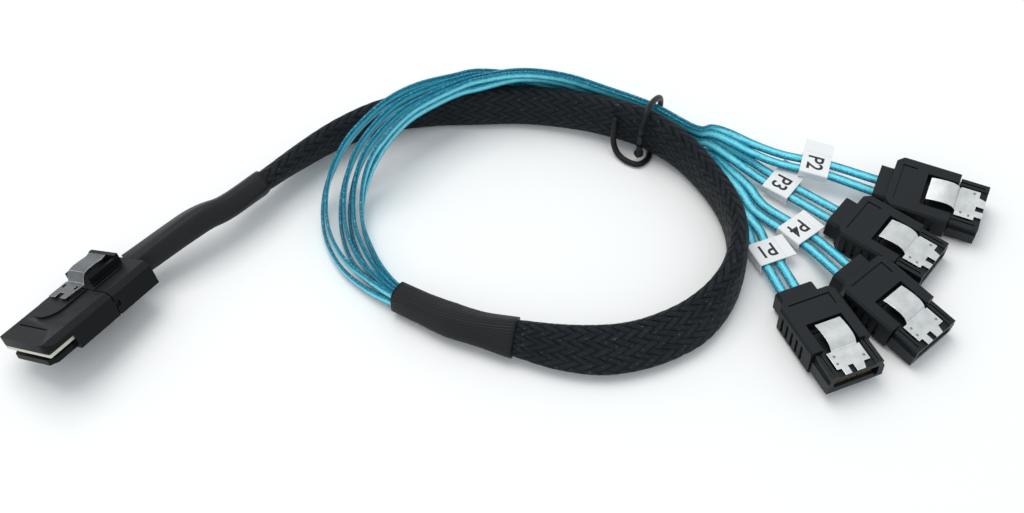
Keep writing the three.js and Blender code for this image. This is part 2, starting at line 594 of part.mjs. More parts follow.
// The host plug in its own axes: x toward its mouth with the cover's edge at zero, y to its left, z up
function buildHost() {
  const h = HOST;
  const w = h.width / 2;
  const group = posed(HOST_POSE);
  const flank = (z0) => [
    [-w, z0], [w, z0], [w, h.height - 1.0], [w - 1.4, h.height], [-w + 1.4, h.height], [-w, h.height - 1.0],
  ];
  const run = {
    y0: h.exitSide - RIBBON_WIDTH - LANE_GAP / 2 - GAP,
    y1: h.exitSide + RIBBON_WIDTH + LANE_GAP / 2 + GAP,
    z0: h.exitHeight - 2 * RIBBON_THICK - 1.5 * LANE_GAP - GAP,
    z1: h.exitHeight + 2 * RIBBON_THICK + 1.5 * LANE_GAP + GAP,
  };
  const cardTop = h.cardBase + h.cardThick;

  let shell = bar(flank(0), -h.split, -h.coverReach);
  const radius = 2.6;
  const cover = [[-h.coverReach - 0.2, -w], [-radius, -w]];
  for (let i = 1; i <= 4; i += 1) {
    const angle = radians(i * 22.5);
    cover.push([-radius + radius * Math.sin(angle), -w + radius - radius * Math.cos(angle)]);
  }
  cover.push(...cover.slice(1).reverse().map(([x, y]) => [x, -y]), [-h.coverReach - 0.2, w]);
  const coverPlate = slab(cover, h.coverUnder, h.height + 1);
  shell = shell.add(coverPlate.intersect(bar(flank(h.coverUnder), -h.coverReach - 0.2, 1)));
  shell = shell.add(slab([
    [-h.coverReach - 0.2, -h.lipWidth / 2], [-2.0, -h.lipWidth / 2], [-0.4, -h.lipWidth / 2 + 1.4],
    [-0.4, h.lipWidth / 2 - 1.4], [-2.0, h.lipWidth / 2], [-h.coverReach - 0.2, h.lipWidth / 2],
  ], 0, h.lipTop));
  shell = shell.subtract(block(
    -h.cardRear - 0.1, 1, -h.cardWidth / 2 - GAP, h.cardWidth / 2 + GAP, h.cardBase - GAP, cardTop + GAP,
  ));
  shell = shell.subtract(block(-h.split - 1, -h.cardRear + 0.1, run.y0, run.y1, run.z0, run.z1));
  shell = shell.subtract(block(-4.9, -4.5, -6.1, 3.7, h.height - 0.3, h.height + 1));
  const tongue = [[-h.split, h.latchSide - 4.2], [-11.6, h.latchSide - 4.2]];
  for (let i = 1; i <= 7; i += 1) {
    const angle = radians(i * 22.5 - 90);
    tongue.push([-11.6 + 4.2 * Math.cos(angle), h.latchSide + 4.2 * Math.sin(angle)]);
  }
  tongue.push([-11.6, h.latchSide + 4.2], [-h.split, h.latchSide + 4.2]);
  shell = shell.add(slab(tongue, h.height - 0.1, h.height + 0.35));
  shell = shell.subtract(block(-h.split - 1, -14.8, h.latchSide - 3.9, h.latchSide + 3.9, h.height, h.height + 1));
  group.add(piece("host_front_housing", shell, plastic));

  let rear = bar(flank(0), -h.length, -h.split - GAP);
  rear = rear.subtract(block(-h.length - 1, -h.split + 1, run.y0, run.y1, run.z0, run.z1));
  const wallNear = h.latchSide + 3.4;
  const wallFar = h.latchSide - 4.2;
  rear = rear.add(block(-28.6, -20.2, wallNear, wallNear + 0.9, h.height - 0.1, h.shroudTop - 0.6));
  rear = rear.add(block(-28.6, -20.2, wallFar - 0.9, wallFar, h.height - 0.1, h.shroudTop - 0.6));
  rear = rear.add(block(-28.6, -27.6, wallFar - 0.9, wallNear + 0.9, h.height - 0.1, h.shroudTop));
  rear = rear.subtract(block(-27.0, -19.6, wallNear + 1.1, wallNear + 2.4, h.height - 0.4, h.height + 1));
  rear = rear.add(block(-26.6, -18.9, wallNear + 2.6, wallNear + 3.1, h.height - 0.1, h.height + 0.3));
  rear = rear.subtract(block(-h.split - 1.4, -h.split + 1, w - 0.5, w + 1, 1.8, 3.2));
  group.add(piece("host_rear_shell", rear, plastic));

  const card = block(-h.cardRear + 0.2, -0.45, -h.cardWidth / 2, h.cardWidth / 2, h.cardBase, cardTop);
  group.add(piece("host_paddle_card", card, board));

  const deck = 6.75;
  const y = h.latchSide;
  let plate = slab([
    [-18.8, y - 3.4], [-13.6, y - 3.4], [-13.6, y - 1.2], [-15.2, y - 1.2], [-15.2, y + 0.6],
    [-13.6, y + 0.6], [-13.6, y + 2.6], [-18.8, y + 3.2],
  ], deck - 0.3, deck);
  plate = plate.subtract(block(-18.0, -16.8, y - 2.9, y - 2.0, 6, 7));
  plate = plate.subtract(block(-18.0, -16.8, y + 1.4, y + 2.3, 6, 7));
  const arch = [
    [-18.5, deck - 0.15], [-19.0, 6.75], [-19.3, 7.3], [-19.7, 8.1], [-20.4, 8.65], [-21.6, 8.85],
    [-23.6, 8.8], [-25.4, 8.65], [-26.6, 8.9],
  ];
  group.add(piece("host_latch", plate.add(sheet(arch.reverse(), 0.3, y - 2.9, y + 2.9)), darkSteel));
  cable.add(group);
}
buildHost();

export default cable;
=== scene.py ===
"""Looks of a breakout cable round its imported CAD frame, laid out as a Blender add-on."""

import math

import bmesh
import bpy
from bpy.props import FloatProperty, FloatVectorProperty, IntProperty, PointerProperty
from mathutils import Matrix, Vector


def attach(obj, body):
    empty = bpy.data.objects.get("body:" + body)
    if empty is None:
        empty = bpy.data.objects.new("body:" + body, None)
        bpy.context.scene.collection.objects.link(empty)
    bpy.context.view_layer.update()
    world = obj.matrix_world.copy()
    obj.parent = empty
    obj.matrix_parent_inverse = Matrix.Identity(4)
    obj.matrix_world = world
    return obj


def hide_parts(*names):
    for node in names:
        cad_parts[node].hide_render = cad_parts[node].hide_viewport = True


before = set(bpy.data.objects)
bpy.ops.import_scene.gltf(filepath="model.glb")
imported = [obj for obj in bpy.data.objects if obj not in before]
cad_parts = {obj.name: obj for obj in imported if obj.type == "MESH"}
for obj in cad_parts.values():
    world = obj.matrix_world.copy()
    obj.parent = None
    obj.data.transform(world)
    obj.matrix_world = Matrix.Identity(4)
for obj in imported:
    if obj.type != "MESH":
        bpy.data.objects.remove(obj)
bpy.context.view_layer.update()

bl_info = {
    "name": "Breakout Cable",
    "version": (1, 0, 0),
    "blender": (4, 5, 0),
    "location": "View3D > Sidebar > Cable",
    "description": "Builds the looks of a breakout cable round its CAD frame",
    "category": "Object",
}

MM = 0.001
CENTRE = (1.85, -9.12)
ROOT = "cable"
LEGS = ("p1", "p2", "p3", "p4")
SIDES = ("outer", "inner")

# Route of the cords in millimetres, as in the part: x, y, z, lean of the wide axis,
# half width and half thickness of the sleeve
SPINE = [
    (-84.3, -8.9, 6.8, -64, 2.85, 2.3),
    (-72.1, 1.2, 9.0, -50, 2.85, 2.3),
    (-65.9, 6.1, 8.3, -42, 2.95, 2.3),
    (-59.2, 14.0, 7.2, -33, 3.9, 2.35),
    (-50.9, 23.5, 6.1, -22, 5.0, 2.4),
    (-41.9, 31.4, 5.8, -14, 5.4, 2.4),
    (-31.6, 37.2, 5.7, -5, 5.4, 2.4),
    (-19.6, 39.9, 5.7, 3, 5.4, 2.4),
    (-7.9, 40.7, 5.7, 8, 5.4, 2.4),
    (2.0, 40.9, 5.8, 8, 5.4, 2.4),
    (11.9, 39.4, 6.2, 8, 5.4, 2.4),
    (21.7, 36.5, 6.9, 8, 5.4, 2.4),
    (32.0, 31.7, 7.4, 8, 5.4, 2.4),
    (40.3, 25.5, 6.6, 4, 5.4, 2.4),
    (45.9, 18.2, 5.8, 0, 5.4, 2.4),
    (49.6, 10.6, 5.7, 0, 5.4, 2.4),
    (51.4, 3.1, 5.7, 0, 5.4, 2.4),
    (51.2, -4.1, 5.7, -3, 5.4, 2.4),
    (49.0, -11.7, 5.6, -12, 5.4, 2.4),
    (45.0, -18.4, 5.5, -24, 5.4, 2.4),
    (39.3, -24.0, 5.4, -38, 5.4, 2.4),
    (32.1, -27.8, 5.1, -46, 5.4, 2.4),
    (25.5, -29.9, 5.0, -50, 5.4, 2.4),
    (18.5, -30.7, 5.0, -52, 5.4, 2.4),
    (10.0, -29.8, 4.9, -50, 4.9, 2.4),
    (0.7, -27.4, 4.75, -40, 4.0, 2.35),
    (-7.0, -25.0, 4.6, -30, 3.1, 2.3),
    (-13.4, -22.6, 4.55, -22, 2.85, 2.3),
    (-19.3, -19.5, 4.3, -15, 2.85, 2.3),
    (-25.4, -15.9, 3.9, -8, 2.85, 2.3),
]
SLEEVE_SPAN = (1, 28)
HOST_SHRINK_SPAN = (-0.09, 3)
SPLIT_SHRINK_SPAN = (25, 29)
SHRINK_WALL = 0.55
SHRINK_SQUARENESS = 3.2
SHRINK_SIDES = 36
SHRINK_END_INSET = 0.88
SLEEVE_SQUARENESS = 2.7
SLEEVE_HALF_WIDTH = 5.4
HOST_SHRINK_SWELL = (0.0, 0.35, 0.1, 0.0)
SPLIT_SHRINK_SWELL = (0.0, 0.05, 0.3, 0.0, 0.0)

# x, y, heights of the lower and upper row, reaches of the lower and upper row's ribbons
LOOP = [
    (-30.7, -10.4, 1.9, 4.4, (3.1, 0.8, -0.5, -2.3), (2.0, 0.2, -1.1, -2.3)),
    (-35.2, -3.9, 1.5, 4.0, (4.6, 1.6, -0.6, -3.4), (3.5, 0.5, -1.7, -3.4)),
    (-38.2, 4.5, 1.5, 4.2, (5.6, 1.6, -0.6, -3.5), (4.5, 0.5, -1.7, -3.5)),
    (-38.6, 12.8, 3.7, 7.0, (5.8, 1.6, -0.6, -3.6), (4.7, 0.5, -1.7, -3.6)),
    (-36.4, 19.0, 8.4, 11.9, (5.2, 1.6, -0.6, -3.8), (4.1, 0.5, -1.7, -3.8)),
    (-32.6, 24.7, 12.0, 14.5, (4.6, 1.6, -0.8, -3.9), (3.5, 0.5, -1.9, -4.0)),
    (-27.2, 31.1, 12.7, 15.1, (4.3, 1.8, -0.8, -3.2), (3.4, 1.0, -1.6, -3.5)),
    (-21.0, 35.2, 12.7, 15.1, (3.8, 2.0, -0.4, -2.0), (3.6, 1.5, -0.9, -2.4)),
    (-13.2, 38.6, 12.6, 15.0, (3.4, 2.2, 0.7, -0.4), (3.0, 1.8, 0.4, -0.8)),
]
# point of SPINE, then outer reach, inner reach and height of each leg's pair
STACK = [
    (8, {"p1": (3.8, 2.8, 12.4), "p4": (2.4, 1.4, 14.9), "p3": (0.6, -0.6, 12.6), "p2": (0.5, -0.5, 15.0)}),
    (9, {"p1": (4.6, 3.6, 8.7), "p4": (4.5, 3.5, 11.2), "p3": (2.6, 1.6, 13.3), "p2": (1.6, 0.6, 15.7)}),
    (10, {"p1": (4.8, 3.8, 6.1), "p4": (4.8, 3.8, 8.5), "p3": (4.8, 3.8, 11.0), "p2": (3.9, 2.9, 13.4)}),
    (11, {"p1": (4.6, 3.6, 3.7), "p4": (4.6, 3.6, 6.1), "p3": (4.8, 3.8, 8.5), "p2": (4.8, 3.8, 11.0)}),
    (12, {"p1": (5.0, 4.0, 3.1), "p4": (5.0, 4.0, 5.5), "p3": (5.0, 4.0, 7.9), "p2": (5.0, 4.0, 10.3)}),
    (13, {"p1": (4.8, 3.8, 1.8), "p4": (4.8, 3.8, 4.2), "p3": (5.3, 4.3, 6.8), "p2": (5.8, 4.8, 9.3)}),
]
# x, y, z, lean and half the pair's pitch
FAN = {
    "p1": [
        (49.4, 20.3, 1.4, 12, 0.52),
        (53.1, 12.2, 1.3, 50, 0.7),
        (56.4, 5.4, 1.0, 84, 1.35),
        (57.4, 0.8, 1.3, 90, 1.5),
        (59.4, -5.0, 2.2, 90, 1.6),
    ],
    "p2": [
        (48.2, 29.6, 8.5, 34, 0.78),
        (52.0, 28.3, 8.0, 60, 1.0),
        (58.2, 26.2, 5.9, 85, 1.4),
        (65.0, 24.0, 4.6, 90, 1.55),
        (75.0, 20.7, 4.8, 86, 1.65),
    ],
    "p3": [
        (47.6, 28.3, 6.4, 34, 0.76),
        (51.5, 26.3, 5.4, 60, 1.0),
        (56.5, 23.2, 3.9, 85, 1.4),
        (61.0, 20.0, 2.8, 90, 1.5),
        (67.5, 14.8, 2.7, 90, 1.6),
    ],
    "p4": [
        (48.5, 25.1, 3.9, 24, 0.6),
        (51.9, 21.3, 3.1, 50, 0.85),
        (55.6, 17.3, 1.8, 80, 1.2),
        (58.5, 11.7, 1.3, 90, 1.45),
        (64.0, 6.0, 1.7, 90, 1.6),
        (69.0, 0.4, 2.7, 90, 1.65),
    ],
}
# leg, row and column inside the sleeve, side of its pair
LANES = [
    ("p1", 0, 0, 0),
    ("p1", 0, 1, 1),
    ("p3", 0, 2, 0),
    ("p3", 0, 3, 1),
    ("p4", 1, 0, 0),
    ("p4", 1, 1, 1),
    ("p2", 1, 2, 0),
    ("p2", 1, 3, 1),
]
TIE_LINE = [
    (30.9, 27.4, 2.6),
    (30.9, 27.9, 5.5),
    (31.0, 27.9, 11.2),
    (32.1, 30.4, 14.4),
    (34.0, 34.3, 14.0),
    (36.0, 37.6, 11.6),
    (36.4, 38.3, 6.5),
    (35.8, 37.2, 1.4),
    (34.9, 34.4, 0.75),
    (34.2, 31.0, 0.75),
    (33.2, 27.6, 0.75),
    (30.9, 25.8, 0.75),
    (28.2, 26.7, 0.8),
    (26.0, 28.8, 1.2),
    (24.9, 30.5, 3.2),
    (24.8, 31.3, 7.0),
    (24.9, 32.1, 10.6),
]

# Poses: x, y, z in millimetres, then yaw, pitch and roll in degrees
HOST_POSE = (-100.8, -36.0, 8.11, -122.0, -8.2, 25.5)
PLUG_POSES = {
    "p1": (64.7, -17.5, 0.0, -68.0, -4.0, 0.0),
    "p2": (89.5, 16.2, 1.02, -23.6, 0.0, 8.0),
    "p3": (78.5, 6.4, 0.0, -39.6, 0.0, 0.0),
    "p4": (77.2, -11.0, 1.5, -49.6, 3.9, 0.0),
}
HOST_REACHES = (16.3, 25.0)
HOST_EXIT = (1.0, 2.9)
BOSS_LENGTH = 3.0
BOSS_MIDDLE = -0.9
# Contact strips on both faces of the host plug's card, in its own millimetres
FINGER_HEIGHTS = (2.3, 3.1)
FINGER_COUNT = 18
FINGER_PITCH = 0.85
FINGER_MIDDLE = -2.4
FINGER_LENGTH = 3.4
FINGER_WIDTH = 0.5
FINGER_THICK = 0.06
# Pressed dimples of a small plug's latch plate, in its own millimetres, drawn in darker steel as painted
# shade
DIMPLES = ((18.9, 3.2, 6.13), (18.9, -3.2, 6.13), (17.0, -2.9, 6.13))
DIMPLE_SIZE = (0.34, 0.34, 0.13)
# Port labels: leg, point of its fan, move along the leg; then the letters' shift across and their height
LABEL_PLACES = {"p1": (4, -2.5), "p2": (4, -2.6), "p3": (4, -4.0), "p4": (5, -4.0)}
LABEL_TOP = 1.09
LETTER_SIZE = 5.4
LETTER_SHIFT = -2.4
LETTER_WIDTH = 0.84
LETTER_MIDDLE = 0.36
LETTER_BOLD = 0.09
LETTER_THICK = 0.012
# Knot of the tie: its radius and how far it sits above the tie's first point, in millimetres
KNOT_RADIUS = 1.15
KNOT_RISE = 0.4
# Stage, in metres
FLOOR_REACH = 3.0
FLOOR_DROP = 0.0001
KEY_PLACE = (-0.2, 0.22, 0.8)
KEY_SIZE = 0.6
KEY_COLOUR = (1.0, 0.97, 0.93)
WORLD_COLOUR = (0.9, 0.965, 1.0, 1.0)
WHITE = (1.0, 1.0, 1.0, 1.0)
RIBBON_HEIGHT = 3.3
RIBBON_PITCH = 3.4
LANE_GAP = 0.22
CAD_RIBBON_WIDTH = 2.2
CAD_RIBBON_THICK = 0.7


def rotation(yaw, pitch, roll):
    """Turn of a plug from its own axes to the frame's."""
    return (
        Matrix.Rotation(math.radians(yaw), 4, "Z")
        @ Matrix.Rotation(math.radians(pitch), 4, "Y")
        @ Matrix.Rotation(math.radians(roll), 4, "X")
    )


def pose_matrix(pose):
    """Placing of a plug in route millimetres."""
    x, y, z, yaw, pitch, roll = pose
    return Matrix.Translation((x, y, z)) @ rotation(yaw, pitch, roll)


def to_frame(point):
    """A route point in millimetres as a frame point in metres."""
    return Vector(((point[0] - CENTRE[0]) * MM, (point[1] - CENTRE[1]) * MM, point[2] * MM))


def spline(rows, t):
    """Value and slope at t, in spans, of the smooth curve through rows."""
    last = len(rows) - 1
    i = min(max(int(math.floor(t)), 0), last - 1)
    w = t - i
    p1, p2 = rows[i], rows[i + 1]
    p0 = rows[i - 1] if i > 0 else [2 * a - b for a, b in zip(rows[0], rows[1])]
    p3 = rows[i + 2] if i + 2 <= last else [2 * a - b for a, b in zip(rows[last], rows[last - 1])]
    value, slope = [], []
    for a, b, c, d in zip(p0, p1, p2, p3):
        t1, t2 = (c - a) / 2, (d - b) / 2
        c2 = -3 * b + 3 * c - 2 * t1 - t2
        c3 = 2 * b - 2 * c + t1 + t2
        value.append(b + t1 * w + c2 * w * w + c3 * w ** 3)
        slope.append(t1 + 2 * c2 * w + 3 * c3 * w * w)
    return value, slope


def axes_at(along, lean):
    """Wide and thin axes of a section for a direction and a lean toward the left-hand side."""
    left = Vector((0, 0, 1)).cross(along).normalized()
    up = along.cross(left).normalized()
    wide = up * math.cos(math.radians(lean)) + left * math.sin(math.radians(lean))
    return wide, along.cross(wide)


def lean_of(along, wide):
    """Lean that a given wide axis has."""
    left = Vector((0, 0, 1)).cross(along).normalized()
    up = along.cross(left).normalized()
    return math.degrees(math.atan2(wide.dot(left), wide.dot(up)))


def swept_rings(rows, marks, section, scale_of):
    """Rings of points along a route of x, y, z, lean and more; scale_of gives the two half sizes."""
    rings, centres = [], []
    for t in marks:
        value, slope = spline(rows, t)
        along = Vector(slope[:3]).normalized()
        wide, thin = axes_at(along, value[3])
        a, b = scale_of(t, value)
        centre = Vector(value[:3])
        centres.append(centre)
        rings.append([centre + wide * (x * a) + thin * (y * b) for x, y in section])
    return rings, centres


def lay_of(rings, centres):
    """Millimetres round the middle ring and along the centres."""
    count = len(rings[0])
    middle = rings[len(rings) // 2]
    around, along = [0.0], [0.0]
    for k in range(count):
        around.append(around[-1] + (middle[(k + 1) % count] - middle[k]).length)
    for a, b in zip(centres, centres[1:]):
        along.append(along[-1] + (b - a).length)
    return around, along


def tube_mesh(name, rings, centres, lay=None):
    """A closed skin over rings, with a map of millimetres round and along it."""
    mesh = bpy.data.meshes.new(name)
    count = len(rings[0])
    vertices = [to_frame(p) for ring in rings for p in ring]
    faces = []
    around, along = lay or lay_of(rings, centres)
    for i in range(len(rings) - 1):
        for k in range(count):
            n = (k + 1) % count
            faces.append((i * count + k, i * count + n, (i + 1) * count + n, (i + 1) * count + k))
    faces.append(tuple(reversed(range(count))))
    faces.append(tuple((len(rings) - 1) * count + k for k in range(count)))
    mesh.from_pydata(vertices, [], faces)
    layer = mesh.uv_layers.new(name="lay").data
    loop = 0
    for i in range(len(rings) - 1):
        for k in range(count):
            for du, dv in ((0, 0), (1, 0), (1, 1), (0, 1)):
                layer[loop].uv = (around[k + du], along[i + dv])
                loop += 1
    mesh.polygons.foreach_set("use_smooth", [True] * len(mesh.polygons))
    mesh.update()
    return mesh


def placed_mesh(name, work, pose):
    """A mesh in the frame from one worked in a plug's own millimetres."""
    mesh = bpy.data.meshes.new(name)
    bmesh.ops.transform(work, matrix=pose_matrix(pose), verts=work.verts)
    for vertex in work.verts:
        vertex.co = to_frame(vertex.co)
    work.to_mesh(mesh)
    work.free()
    return mesh


def add_object(name, mesh, material, body=ROOT, nodes=()):
    """A piece of the object, riding on its body and standing for its CAD nodes."""
    obj = bpy.data.objects.new(name, mesh)
    bpy.context.scene.collection.objects.link(obj)
    if not obj.data.materials:
        obj.data.materials.append(material)
    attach(obj, body)
    if nodes:
        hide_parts(*nodes)
    return obj


def route_marks(first, last, per_span):
    """Even marks along a run of spans."""
    steps = int(round((last - first) * per_span))
    return [first + (last - first) * k / steps for k in range(steps + 1)]


def rounded_section(count, power):
    """Points of a unit superellipse."""
    points = []
    for k in range(count):
        angle = 2 * math.pi * k / count
        c, s = math.cos(angle), math.sin(angle)
        points.append((math.copysign(abs(c) ** (2 / power), c), math.copysign(abs(s) ** (2 / power), s)))
    return points


def left_of(places, index):
    """Outward side at a place of a plan line."""
    before, after = places[max(index - 1, 0)], places[min(index + 1, len(places) - 1)]
    along = Vector((after[0] - before[0], after[1] - before[1], 0)).normalized()
    return Vector((0, 0, 1)).cross(along)


def ribbon_rows(lane_index):
    """Stations of one ribbon from the host plug's card to its small plug: x, y, z and lean."""
    leg, row, column, side = LANES[lane_index]
    across = (row - 0.5) * (CAD_RIBBON_WIDTH + LANE_GAP)
    through = (column - 1.5) * (CAD_RIBBON_THICK + LANE_GAP)
    rows = []
    host = pose_matrix(HOST_POSE)
    turn = host.to_3x3()
    lean = lean_of(turn @ Vector((-1, 0, 0)), turn @ Vector((0, 1, 0)))
    for reach in HOST_REACHES:
        point = host @ Vector((-reach, HOST_EXIT[0] + across, HOST_EXIT[1] - through))
        rows.append((*point, lean))
    frames = []
    for i, station in enumerate(SPINE):
        along = Vector(spline(SPINE, i)[1][:3]).normalized()
        wide, thin = axes_at(along, station[3])
        frames.append((along, wide, thin, Vector((0, 0, 1)).cross(along).normalized()))
        rows.append((*(Vector(station[:3]) + wide * across + thin * through), station[3]))
    line = [SPINE[-1][:2]] + [spot[:2] for spot in LOOP]
    for i, (x, y, low, high, lower, upper) in enumerate(LOOP):
        reach = (lower if row == 0 else upper)[lane_index % 4]
        rows.append((*(Vector((x, y, low if row == 0 else high)) + left_of(line, i + 1) * reach), 0))
    for at, pairs in STACK:
        foot = Vector((SPINE[at][0], SPINE[at][1], pairs[leg][2]))
        rows.append((*(foot + frames[at][3] * pairs[leg][side]), 0))
    sign = 1 if side == 0 else -1
    for i, (x, y, z, lean, half) in enumerate(FAN[leg]):
        rows.append((*(Vector((x, y, z)) + left_of(FAN[leg], i) * sign * half), lean))
    plug = pose_matrix(PLUG_POSES[leg])
    for reach in (-BOSS_LENGTH - 1.6, -BOSS_LENGTH + 1.0, 1.2):
        point = plug @ Vector((reach, BOSS_MIDDLE + sign * RIBBON_PITCH / 2, RIBBON_HEIGHT))
        rows.append((*point, 90 - PLUG_POSES[leg][5]))
    return rows


class Shader:
    """Short calls for building one material's nodes."""

    def __init__(self, name):
        self.material = bpy.data.materials.new(name)
        self.material.use_nodes = True
        self.tree = self.material.node_tree
        self.tree.nodes.clear()
        self.output = self.node("ShaderNodeOutputMaterial")
        self.skin = self.node("ShaderNodeBsdfPrincipled")
        self.link(self.skin.outputs["BSDF"], self.output.inputs["Surface"])

    def node(self, kind, **settings):
        made = self.tree.nodes.new(kind)
        for key, value in settings.items():
            setattr(made, key, value)
        return made

    def link(self, source, target):
        self.tree.links.new(source, target)

    def put(self, target, value):
        """Link a socket or set a plain value."""
        if isinstance(value, bpy.types.NodeSocket):
            self.link(value, target)
        else:
            target.default_value = value

    def math(self, operation, a, b=0.0, c=0.0):
        made = self.node("ShaderNodeMath", operation=operation)
        for target, value in zip(made.inputs, (a, b, c)):
            self.put(target, value)
        return made.outputs[0]

    def mix(self, factor, a, b):
        """Colour mix."""
        made = self.node("ShaderNodeMix", data_type="RGBA")
        self.put(made.inputs[0], factor)
        self.put(made.inputs[6], a)
        self.put(made.inputs[7], b)
        return made.outputs[2]

    def ramp(self, factor, stops):
        made = self.node("ShaderNodeValToRGB")
        elements = made.color_ramp.elements
        while len(elements) < len(stops):
            elements.new(0.5)
        for element, (place, colour) in zip(elements, stops):
            element.position = place
            element.color = colour
        self.put(made.inputs[0], factor)
        return made.outputs[0]

    def place(self, scale=(1, 1, 1), uv=False):
        """Object or mapped coordinates, scaled."""
        if uv:
            source = self.node("ShaderNodeUVMap", uv_map="lay").outputs[0]
        else:
            source = self.node("ShaderNodeTexCoord").outputs["Object"]
        made = self.node("ShaderNodeMapping")
        self.put(made.inputs["Vector"], source)
        self.put(made.inputs["Scale"], scale)
        return made.outputs[0]

    def noise(self, vector, scale, detail=2.0, roughness=0.5):
        made = self.node("ShaderNodeTexNoise")
        self.put(made.inputs["Vector"], vector)
        self.put(made.inputs["Scale"], scale)
        self.put(made.inputs["Detail"], detail)
        self.put(made.inputs["Roughness"], roughness)
        return made.outputs[0]

    def bump(self, height, distance, strength=1.0, normal=None):
        made = self.node("ShaderNodeBump")
        self.put(made.inputs["Height"], height)
        self.put(made.inputs["Distance"], distance)
        self.put(made.inputs["Strength"], strength)
        if normal is not None:
            self.put(made.inputs["Normal"], normal)
        return made.outputs[0]

    def set(self, **values):
        """Inputs of the skin by name, underscores for spaces."""
        for key, value in values.items():
            self.put(self.skin.inputs[key.replace("_", " ")], value)
        return self


def rgba(colour):
    return (*colour[:3], 1.0)


def moulded_material(name, colour, roughness, grain=0.012, sheen=0.2):
    """Moulded plastic: spark-eroded grain, slight unevenness in tone and gloss."""
    s = Shader(name)
    fine = s.noise(s.place(), 9000, 2)
    broad = s.noise(s.place(), 260, 3)
    tone = s.mix(broad, rgba([c * 0.82 for c in colour]), rgba([c * 1.2 for c in colour]))
    gloss = s.math("MULTIPLY_ADD", broad, 0.16, roughness - 0.08)
    skin = s.bump(fine, grain * MM, 0.8)
    s.set(Base_Color=tone, Roughness=gloss, Normal=skin, Specular_IOR_Level=sheen)
    return s.material


def metal_material(name, colour, roughness):
    """Rolled spring steel: fine streaks along the strip and faint smudges."""
    s = Shader(name)
    streak = s.noise(s.place((1.0, 0.12, 1.0)), 5200, 3)
    smudge = s.noise(s.place(), 420, 3, 0.6)
    wear_and_edge_highlight = s.ramp(smudge, [(0.3, (0, 0, 0, 1)), (0.7, (1, 1, 1, 1))])
    bright = rgba([min(c * 1.08, 1.0) for c in colour])
    tone = s.mix(wear_and_edge_highlight, rgba([c * 0.86 for c in colour]), bright)
    gloss = s.math("MULTIPLY_ADD", streak, 0.14, roughness - 0.07)
    s.set(Base_Color=tone, Metallic=0.9, Roughness=gloss, Normal=s.bump(streak, 0.0012 * MM, 0.5))
    return s.material


# Ramp of the braid's painted glints: bright specks put into its base colour.
GLINT_STOPS = [(0.0, (0, 0, 0, 1)), (0.66, (0, 0, 0, 1)), (0.78, (1, 1, 1, 1))]


def shrink_material(name, colour, ribs):
    """Heat shrink: lengthwise ribs, a soft sheen and dust-fine grain."""
    s = Shader(name)
    split = s.node("ShaderNodeSeparateXYZ")
    s.put(split.inputs[0], s.place(uv=True))
    wave = s.math("SINE", s.math("MULTIPLY", split.outputs[0], 2 * math.pi / 0.55))
    fine = s.noise(s.place(), 5200, 3)
    broad = s.noise(s.place(), 200, 2)
    height = s.math("ADD", s.math("MULTIPLY", wave, ribs), s.math("MULTIPLY", fine, 0.35))
    tone = s.mix(broad, rgba([c * 0.8 for c in colour]), rgba([c * 1.3 for c in colour]))
    skin = s.bump(height, 0.06 * MM, 0.9)
    s.set(Base_Color=tone, Roughness=0.46, Normal=skin, Specular_IOR_Level=0.22)
    return s.material


def braid_material(name, colour, across, along):
    """Braid of flat strands, two over two, each of four filaments, with its strands per millimetre; hollows
    darkened as painted shade, crowns and specks brightened as painted highlight.
    """
    s = Shader(name)
    split = s.node("ShaderNodeSeparateXYZ")
    s.put(split.inputs[0], s.place(uv=True))
    u, v = split.outputs[0], split.outputs[1]
    p = s.math("ADD", s.math("MULTIPLY", u, across), s.math("MULTIPLY", v, along))
    q = s.math("SUBTRACT", s.math("MULTIPLY", u, across), s.math("MULTIPLY", v, along))
    cell = s.math("ADD", s.math("FLOOR", p), s.math("FLOOR", q))
    order = s.math("MODULO", s.math("ADD", cell, 4000.0), 4.0)
    over = s.math("LESS_THAN", order, 1.5)

    def profile(cross):
        part = s.math("FRACT", cross)
        arch = s.math("MULTIPLY", s.math("MULTIPLY", part, s.math("SUBTRACT", 1.0, part)), 4.0)
        filament = s.math("ABSOLUTE", s.math("SINE", s.math("MULTIPLY", part, 4 * math.pi)))
        return s.math("MULTIPLY_ADD", filament, 0.4, s.math("POWER", arch, 0.6))

    top_p, top_q = profile(p), profile(q)
    made = s.node("ShaderNodeMix", data_type="FLOAT")
    s.put(made.inputs[0], over)
    s.put(made.inputs[2], top_p)
    s.put(made.inputs[3], top_q)
    height = made.outputs[0]
    broad = s.noise(s.place(), 300, 2)
    speck = s.noise(s.place(), 1500, 3, 0.6)
    # Base colour with painted shade and highlight: dark in the hollows between strands, bright on their
    # crowns.
    strand_shade_and_highlight = s.mix(
        s.math("MULTIPLY", height, s.math("MULTIPLY_ADD", broad, 0.7, 0.3)),
        rgba([c * 0.1 for c in colour]),
        rgba([c * 4.5 for c in colour]),
    )
    # Bright specks in the base colour are painted glints.
    glint = s.ramp(s.math("MULTIPLY", speck, s.math("MULTIPLY_ADD", height, 0.25, 0.75)), GLINT_STOPS)
    tone = s.mix(glint, strand_shade_and_highlight, rgba([c * 26 for c in colour]))
    s.set(
        Base_Color=tone,
        Roughness=s.math("MULTIPLY_ADD", speck, 0.3, 0.3),
        Normal=s.bump(height, 0.35 * MM, 1.0),
        Specular_IOR_Level=0.12,
    )
    return s.material


